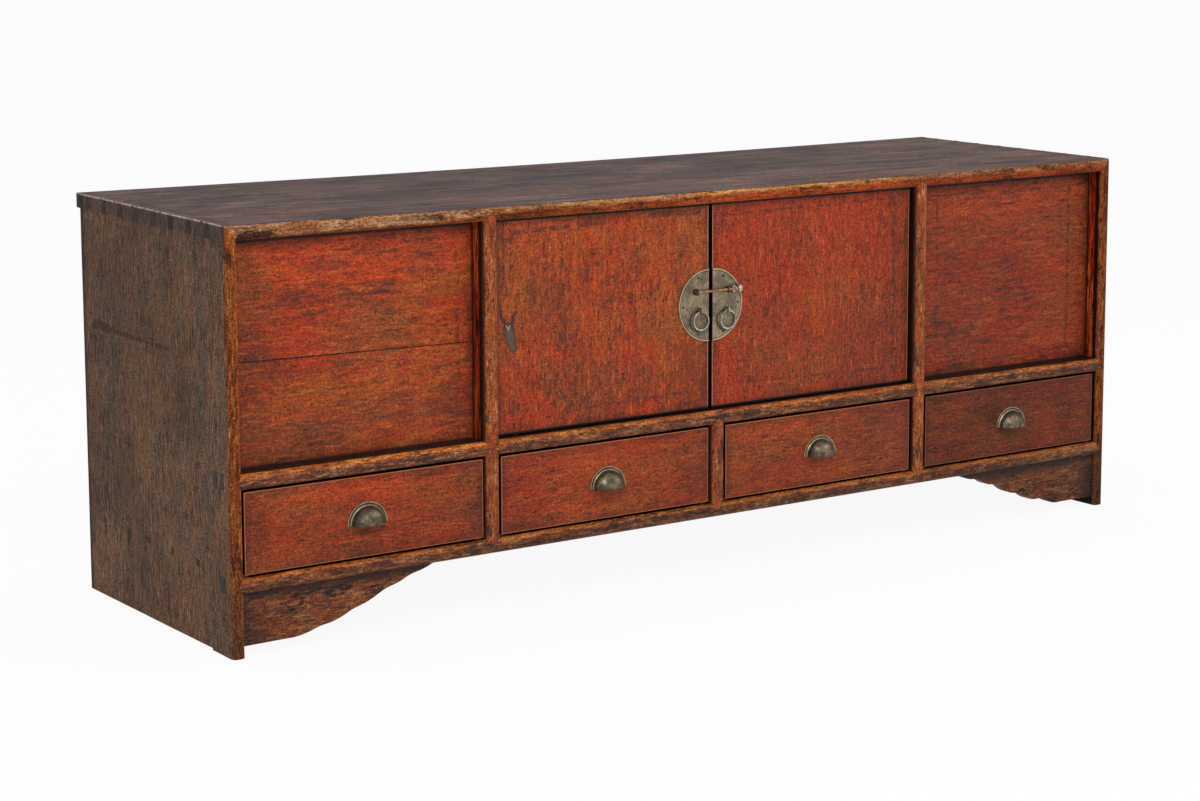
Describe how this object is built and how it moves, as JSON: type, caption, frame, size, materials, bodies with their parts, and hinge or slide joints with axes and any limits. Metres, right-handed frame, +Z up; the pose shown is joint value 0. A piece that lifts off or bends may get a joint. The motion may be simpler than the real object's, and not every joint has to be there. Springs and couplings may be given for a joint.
{
  "type": "low sideboard cabinet",
  "caption": "Low wooden sideboard with worn red lacquer, a pair of pintle-hung doors behind a round brass lock plate, fixed side panels and a row of drawers with cup pulls.",
  "frame": {"origin": "on the floor, under the middle of the whole object's box", "axes": "+Z up, the front faces -Y, +X to the right as seen from the front"},
  "size_m": [1.646, 0.51, 0.6],
  "materials": {
    "red_lacquered_wood": "worn red-orange lacquer, satin",
    "worn_brown_wood": "worn brown lacquer, satin",
    "plain_wood": "dry unfinished softwood",
    "aged_brass": "dull antique patina",
    "coppery_brass": "handled, satin",
    "dark_iron": "dark, dull"
  },
  "bodies": {
    "cabinet": {"top_board": "worn_brown_wood", "left_side_board": "worn_brown_wood", "right_side_board": "worn_brown_wood", "left_post": "worn_brown_wood", "centre_post": "worn_brown_wood", "right_post": "worn_brown_wood", "bottom_rail": "worn_brown_wood", "left_mid_rail": "worn_brown_wood", "centre_mid_rail": "worn_brown_wood", "right_mid_rail": "worn_brown_wood", "left_front_panel": "red_lacquered_wood", "right_front_panel": "red_lacquered_wood", "cupboard_floor": "plain_wood", "lower_back_board": "plain_wood", "upper_back_board": "plain_wood", "bottom_board": "plain_wood", "left_guide": "plain_wood", "centre_guide": "plain_wood", "right_guide": "plain_wood", "left_bracket": "worn_brown_wood", "right_bracket": "worn_brown_wood"},
    "left_door": {"left_door": "red_lacquered_wood", "left_door_battens": "plain_wood", "left_lock_plate": "aged_brass", "left_plate_nails": "dark_iron", "left_lock_eye": "aged_brass", "left_ring_eye": "aged_brass"},
    "left_ring": {"left_ring": "aged_brass"},
    "right_door": {"right_door": "red_lacquered_wood", "right_door_battens": "plain_wood", "right_lock_plate": "aged_brass", "right_plate_nails": "dark_iron", "right_lock_eye": "aged_brass", "right_ring_eye": "aged_brass"},
    "right_ring": {"right_ring": "aged_brass"},
    "lock_pin": {"lock_pin": "coppery_brass"},
    "drawer_1": {"drawer_1_front": "red_lacquered_wood", "drawer_1_left_side": "plain_wood", "drawer_1_right_side": "plain_wood", "drawer_1_back": "plain_wood", "drawer_1_bottom": "plain_wood", "drawer_1_pull": "aged_brass"},
    "drawer_2": {"drawer_2_front": "red_lacquered_wood", "drawer_2_left_side": "plain_wood", "drawer_2_right_side": "plain_wood", "drawer_2_back": "plain_wood", "drawer_2_bottom": "plain_wood", "drawer_2_pull": "aged_brass"},
    "drawer_3": {"drawer_3_front": "red_lacquered_wood", "drawer_3_left_side": "plain_wood", "drawer_3_right_side": "plain_wood", "drawer_3_back": "plain_wood", "drawer_3_bottom": "plain_wood", "drawer_3_pull": "aged_brass"},
    "drawer_4": {"drawer_4_front": "red_lacquered_wood", "drawer_4_left_side": "plain_wood", "drawer_4_right_side": "plain_wood", "drawer_4_back": "plain_wood", "drawer_4_bottom": "plain_wood", "drawer_4_pull": "aged_brass"}
  },
  "joints": [
    {"name": "left_door_hinge", "type": "hinge", "parent": "cabinet", "child": "left_door", "pos_m": [-0.353, -0.213, 0.418], "axis": [0, 0, -1], "range_deg": [0, 120]},
    {"name": "right_door_hinge", "type": "hinge", "parent": "cabinet", "child": "right_door", "pos_m": [0.353, -0.213, 0.418], "axis": [0, 0, 1], "range_deg": [0, 120]},
    {"name": "lock_pin_slide", "type": "slide", "parent": "right_door", "child": "lock_pin", "axis": [1, 0, 0], "range_m": [-0.0045, 0.034]},
    {"name": "left_ring_swing", "type": "hinge", "parent": "left_door", "child": "left_ring", "pos_m": [-0.0285, -0.2289, 0.4125], "axis": [-1, 0, 0], "range_deg": [-6, 120]},
    {"name": "right_ring_swing", "type": "hinge", "parent": "right_door", "child": "right_ring", "pos_m": [0.0225, -0.2289, 0.4105], "axis": [-1, 0, 0], "range_deg": [-6, 120]},
    {"name": "drawer_1_slide", "type": "slide", "parent": "cabinet", "child": "drawer_1", "axis": [0, -1, 0], "range_m": [0, 0.3]},
    {"name": "drawer_2_slide", "type": "slide", "parent": "cabinet", "child": "drawer_2", "axis": [0, -1, 0], "range_m": [0, 0.3]},
    {"name": "drawer_3_slide", "type": "slide", "parent": "cabinet", "child": "drawer_3", "axis": [0, -1, 0], "range_m": [0, 0.3]},
    {"name": "drawer_4_slide", "type": "slide", "parent": "cabinet", "child": "drawer_4", "axis": [0, -1, 0], "range_m": [0, 0.3]}
  ]
}
